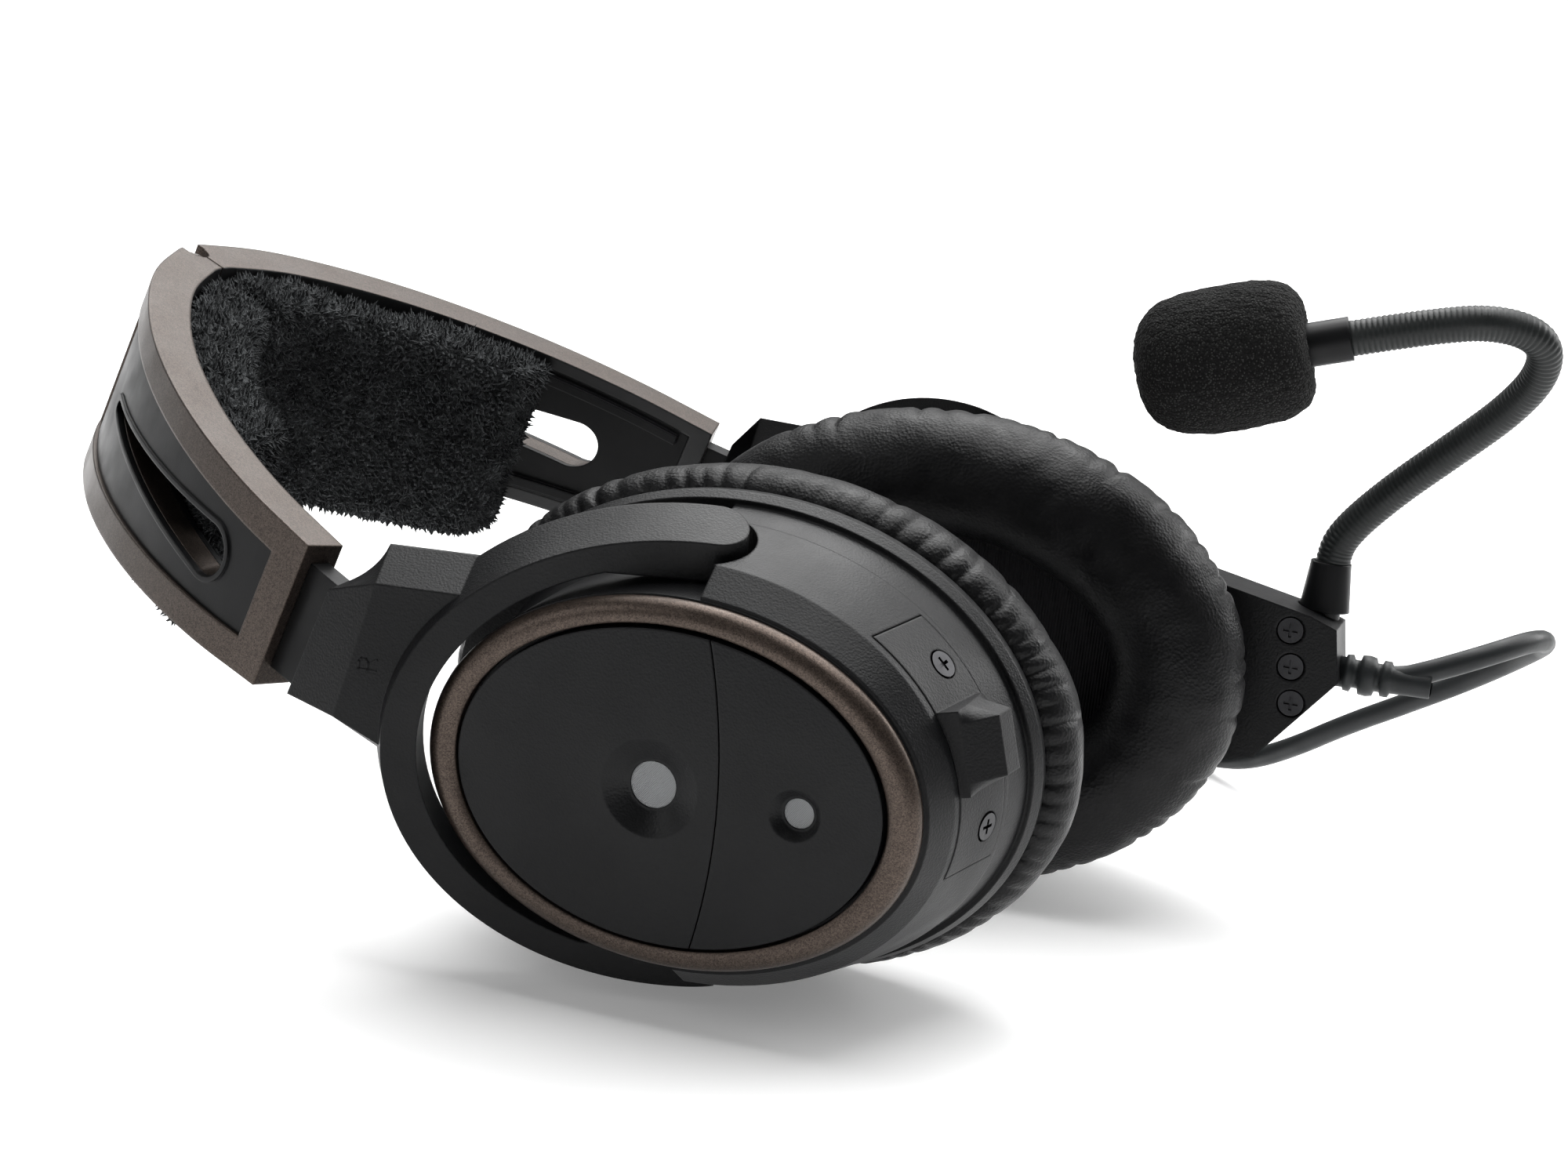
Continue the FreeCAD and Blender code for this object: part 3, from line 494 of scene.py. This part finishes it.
def coil_points():
    """The turns, each stepping over to its own radius and layer in its first third."""
    points = []
    ring, layer = COIL_TURNS[0]
    last = (COIL_RADII[ring], layer)
    total = int(POINTS_A_TURN * (len(COIL_TURNS) + LAST_ARC / 360)) + 1
    for k in range(total):
        ring, layer = COIL_TURNS[min(k // POINTS_A_TURN, len(COIL_TURNS) - 1)]
        if k % POINTS_A_TURN == 0 and k:
            last = here
        share = min(1.0, (k % POINTS_A_TURN) / 4 + 0.25) if k < POINTS_A_TURN * len(COIL_TURNS) else 1.0
        here = (COIL_RADII[ring], layer)
        radius = last[0] + (here[0] - last[0]) * share
        level = last[1] + (here[1] - last[1]) * share
        a = math.radians(COIL_START - 360 * k / POINTS_A_TURN)
        up = FLOOR_Y + CABLE_R + 0.15 + level * CABLE_R * 2.02
        points.append(worn(COIL_CENTRE[0] + radius * math.cos(a), up, COIL_CENTRE[1] + radius * math.sin(a)))
    return points


def make_cable(finishes):
    start = [RELIEF_ROOT + RELIEF_WAY * 0.005, RELIEF_ROOT + RELIEF_WAY * 0.016]
    leaving = [worn(-166.6, FLOOR_Y + 6.5, 20.5), worn(-164.4, FLOOR_Y + 7.0, 28.5),
               worn(-164.2, FLOOR_Y + 7.0, 38.0)]
    cable = spline("headset_cable", start + CABLE_ROUTE + coil_points() + leaving)
    cable.data.bevel_depth = CABLE_R / 1000
    cable.data.bevel_resolution = 5
    cable.data.use_fill_caps = True
    cable.data.materials.append(finishes["cable_rubber"])
    millimetres = Matrix.Scale(0.001, 4)
    plug = piece_from("cable_plug", lathe(PLUG_PROFILE), finishes["connector_metal"],
                      along(PLUG_BACK, (0, -1, 0)) @ millimetres)
    relief_piece = piece_from("ribbed_relief", lathe(RELIEF_PROFILE), finishes["cable_rubber"],
                              along(CABLE_EXIT, RELIEF_WAY) @ millimetres)
    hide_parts("cable", "cable_coil")
    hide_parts("cable_connector")
    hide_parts("cable_strain_relief")
    for piece in (cable, plug, relief_piece):
        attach(piece, "cup_left")


# ------------------------------------------------------------ the boom: gooseneck, sleeve and windscreen
BOOM_ROUTE = [(-0.0685, 0.0885, 0.0578), (-0.0689, 0.0885, 0.0657), (-0.0686, 0.0901, 0.0709),
              (-0.0681, 0.0980, 0.0800), (-0.0668, 0.1087, 0.0901), (-0.0648, 0.1180, 0.0990),
              (-0.0618, 0.1238, 0.1068), (-0.0573, 0.1246, 0.1133), (-0.0528, 0.1188, 0.1160),
              (-0.0488, 0.1095, 0.1151), (-0.0440, 0.0927, 0.1099)]
GOOSE_R = 0.0032
SLEEVE_LENGTH = 0.009
RIB_PITCH = 0.00095
RIB_DEPTH = 0.00018
RIB_LINE = ((0.0, 1.0), (0.22, 0.35), (0.5, 0.0), (0.78, 0.35))   # share of a rib, share of its depth
FOAM_LINE = [(-2.4, 4.3), (-2.8, 6.4), (-2.2, 9.0), (-0.6, 11.0), (2.4, 12.2), (6.5, 12.7), (12.0, 12.85),
             (17.5, 12.65), (21.6, 11.9), (24.9, 10.1), (27.0, 7.2), (27.9, 3.6), (28.1, 0.0)]


def make_gooseneck(finish):
    line = spline("gooseneck_line", [Vector(p) for p in BOOM_ROUTE])
    whole = length_of(line)
    ribs = int(whole / RIB_PITCH)
    profile = []
    for k in range(ribs):
        x = whole * k / ribs
        for share, depth in RIB_LINE:
            profile.append((x + share * whole / ribs, GOOSE_R - depth * RIB_DEPTH))
    profile.append((whole, GOOSE_R))
    neck = piece_from("ribbed_gooseneck", lathe(profile, 28), finish)
    bent_along(neck, line)
    bpy.data.objects.remove(line)
    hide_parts("gooseneck")
    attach(neck, "boom")


def make_windscreen(finish):
    tip = Vector(BOOM_ROUTE[-1])
    way = (tip - Vector(BOOM_ROUTE[-2])).normalized()
    place = along(tip + way * SLEEVE_LENGTH, way) @ Matrix.Scale(0.001, 4)
    foam = subdivided(piece_from("foam_cover", lathe(FOAM_LINE, 72), finish, place), 2)
    for v in foam.data.vertices:
        rough = noise.noise(v.co * 1500) * 0.00022 + noise.noise(v.co * 620) * 0.00018
        v.co += v.normal * (rough + noise.noise(v.co * 90) * 0.0003)
    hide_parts("foam_windscreen")
    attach(foam, "boom")


# ------------------------------------------------------------ the ear cushions
EAR = (32.0, 21.0)                   # half height and half width of the ear opening, in millimetres
CUSHION = (55.8, 43.0)               # the same of the cushion's outer edge
# the cover's section: share of the way from ear opening to outer edge, and height over the cup
CUSHION_LINE = [(0.02, -7.2), (-0.01, -11.0), (-0.03, -16.0), (0.0, -20.5), (0.10, -24.0), (0.27, -26.2),
                (0.48, -26.6), (0.69, -25.2), (0.86, -22.2), (0.965, -18.0), (1.0, -14.0), (0.975, -10.6),
                (0.91, -8.4), (0.83, -7.2), (0.50, -7.1), (0.20, -7.1)]
PLEATS = 84
PLEAT_DEPTH = 0.7
PLEAT_HALF_WIDTH = 0.42              # as a share of the pleats' pitch
PLEATED_FROM = 0.86                  # the pleats lie outside this share of the ring
CUSHION_STEPS = 176


def cushion_point(turned, share, n):
    """A point of the cushion's oval ring: share runs from the ear opening, 0, to the outer edge, 1."""
    high = EAR[0] + share * (CUSHION[0] - EAR[0])
    wide = EAR[1] + share * (CUSHION[1] - EAR[1])
    return Vector((n, wide * math.sin(turned), high * math.cos(turned)))


def make_cushion(side, finish):
    bm = bmesh.new()
    ring = [bm.verts.new((n, 0.0, 2.0 + share)) for share, n in CUSHION_LINE]
    edges = [bm.edges.new(pair) for pair in zip(ring, ring[1:] + ring[:1])]
    bmesh.ops.spin(bm, geom=ring + edges, cent=(0, 0, 0), axis=(1, 0, 0), angle=math.tau, steps=CUSHION_STEPS,
                   use_merge=True, use_duplicate=False)
    for v in bm.verts:
        share = math.hypot(v.co.y, v.co.z) - 2.0
        v.co = cushion_point(math.atan2(v.co.y, v.co.z), share, v.co.x)
    cushion = subdivided(piece_from("cushion_cover_" + side, bm, finish), 2)
    gather(cushion, side)
    cushion.data.transform(cup_place(side))
    if side == "left":
        cushion.data.flip_normals()
    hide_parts("ear_cushion_" + side)
    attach(cushion, "cup_" + side)


def gather(cushion, side):
    """The leather's pleats round the back edge and its face's slack; the mesh is in the cup's millimetres."""
    dice = random.Random(7 if side == "right" else 12)
    depths = [dice.uniform(0.5, 1.25) for _ in range(PLEATS)]
    reaches = [dice.uniform(0.6, 1.3) for _ in range(PLEATS)]
    shifts = [v.normal.copy() for v in cushion.data.vertices]
    for v, out in zip(cushion.data.vertices, shifts):
        n = v.co.x
        turned = math.atan2(v.co.y / CUSHION[1], v.co.z / CUSHION[0])
        share = math.hypot(v.co.y / CUSHION[1], v.co.z / CUSHION[0])
        waver = 0.06 * noise.noise(Vector((3 * math.cos(turned), 3 * math.sin(turned), 0.08 * n)))
        position = (turned + waver) / math.tau * PLEATS
        index = round(position) % PLEATS
        valley = max(0.0, 1 - abs(position - round(position)) / PLEAT_HALF_WIDTH) ** 1.6
        reach = 0.0
        if share > PLEATED_FROM:
            reach = max(0.0, min(1.0, (n + 21.5 * reaches[index] * 0.8 + 0.5) / 7.0))
        v.co -= out * valley * depths[index] * reach * PLEAT_DEPTH
        slack = noise.noise(v.co * 0.09) * 0.5 + noise.noise(v.co * 0.26) * 0.16
        front = max(0.0, min(1.0, (-n - 12) / 8))
        v.co += out * slack * (0.35 + 0.65 * front)


# ------------------------------------------------------------ the crown pads
FLEECE_VOXEL = 0.0016
SMOOTHINGS = 6
TUFT = (0.0002, 0.0012)              # shortest and longest tuft
TUFT_LEAN = 0.0004


def make_crown_pad(side, finish):
    source = NODES["crown_pad_" + side]
    bm = bmesh.new()
    bm.from_mesh(source.data)
    pad = piece_from("fleece_pad_" + side, bm, finish)
    remesh = pad.modifiers.new("even", "REMESH")
    remesh.mode = "VOXEL"
    remesh.voxel_size = FLEECE_VOXEL
    settle(pad)
    bm = bmesh.new()
    bm.from_mesh(pad.data)
    for _ in range(SMOOTHINGS):
        bmesh.ops.smooth_vert(bm, verts=bm.verts, factor=0.5,
                              use_axis_x=True, use_axis_y=True, use_axis_z=True)
    bm.normal_update()
    lumps = [(v, v.normal.copy()) for v in bm.verts]
    for v, out in lumps:
        v.co += out * (0.0002 + 0.0014 * noise.noise(v.co * 70) + 0.0008 * noise.noise(v.co * 180))
    bmesh.ops.subdivide_edges(bm, edges=bm.edges, cuts=1, use_grid_fill=True)
    bm.normal_update()
    dice = random.Random(3 if side == "right" else 4)
    old = set(bm.verts)
    bmesh.ops.poke(bm, faces=bm.faces, offset=0.0)
    bm.normal_update()
    tufts = [(v, v.normal.copy()) for v in bm.verts if v not in old]
    for v, out in tufts:
        lean = Vector((dice.gauss(0, 1), dice.gauss(0, 1), dice.gauss(0, 1))) * TUFT_LEAN
        v.co += out * dice.uniform(*TUFT) + lean
    bm.to_mesh(pad.data)
    bm.free()
    for polygon in pad.data.polygons:
        polygon.use_smooth = False
    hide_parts("crown_pad_" + side)
    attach(pad, "band_" + side)


# ------------------------------------------------------------ the R and L on the yoke blocks
LETTER_AT = Vector((0.0825, -0.0245, 0.0512))
LETTER_OUT = Vector((0.987, 0.161, 0.0))
LETTERS = {
    "right": [((0, 0), (0, 3)), ((0, 3), (1.25, 3)), ((1.25, 3), (1.75, 2.65)), ((1.75, 2.65), (1.75, 1.85)),
              ((1.75, 1.85), (1.25, 1.5)), ((1.25, 1.5), (0, 1.5)), ((0.95, 1.5), (1.85, 0))],
    "left": [((0, 0), (0, 3)), ((0, 0), (1.7, 0))]}
LETTER_MIDDLE = Vector((0.9, 1.5, 0))
STROKE = 0.42
LETTER_PROUD = 0.10


def make_side_letter(side, finish):
    bm = bmesh.new()
    for a, b in LETTERS[side]:
        a, b = Vector((*a, 0)), Vector((*b, 0))
        way = (b - a).to_track_quat("X", "Z").to_matrix().to_4x4()
        size = Matrix.Diagonal(((b - a).length + STROKE, STROKE, 2 * LETTER_PROUD, 1))
        centre = Matrix.Translation((a + b) / 2 - LETTER_MIDDLE)
        bmesh.ops.create_cube(bm, size=1.0, matrix=centre @ way @ size)
    up = Vector((0, -1, 0))
    up = (up - LETTER_OUT * up.dot(LETTER_OUT)).normalized()
    axes = Matrix((up.cross(LETTER_OUT), up, LETTER_OUT)).transposed().to_4x4()
    spot = fork_place("right").inverted() @ Matrix.Translation(LETTER_AT) @ axes @ Matrix.Scale(0.001, 4)
    hand = Matrix.Scale(-1, 4, (1, 0, 0)) if side == "left" else Matrix.Identity(4)
    letter = piece_from("side_letter_" + side, bm, finish, fork_place(side) @ spot @ hand, smooth=False)
    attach(letter, "yoke_" + side)


# ------------------------------------------------------------ everything together
make_camera()
finishes = make_finishes()
make_cable(finishes)
make_studio()
finish_cad_nodes(finishes)
make_gooseneck(finishes["gooseneck_rubber"])
make_windscreen(finishes["foam"])
for hand in ("right", "left"):
    make_cushion(hand, finishes["cushion_leather"])
    make_crown_pad(hand, finishes["fleece"])
    make_side_letter(hand, finishes["satin_black"])
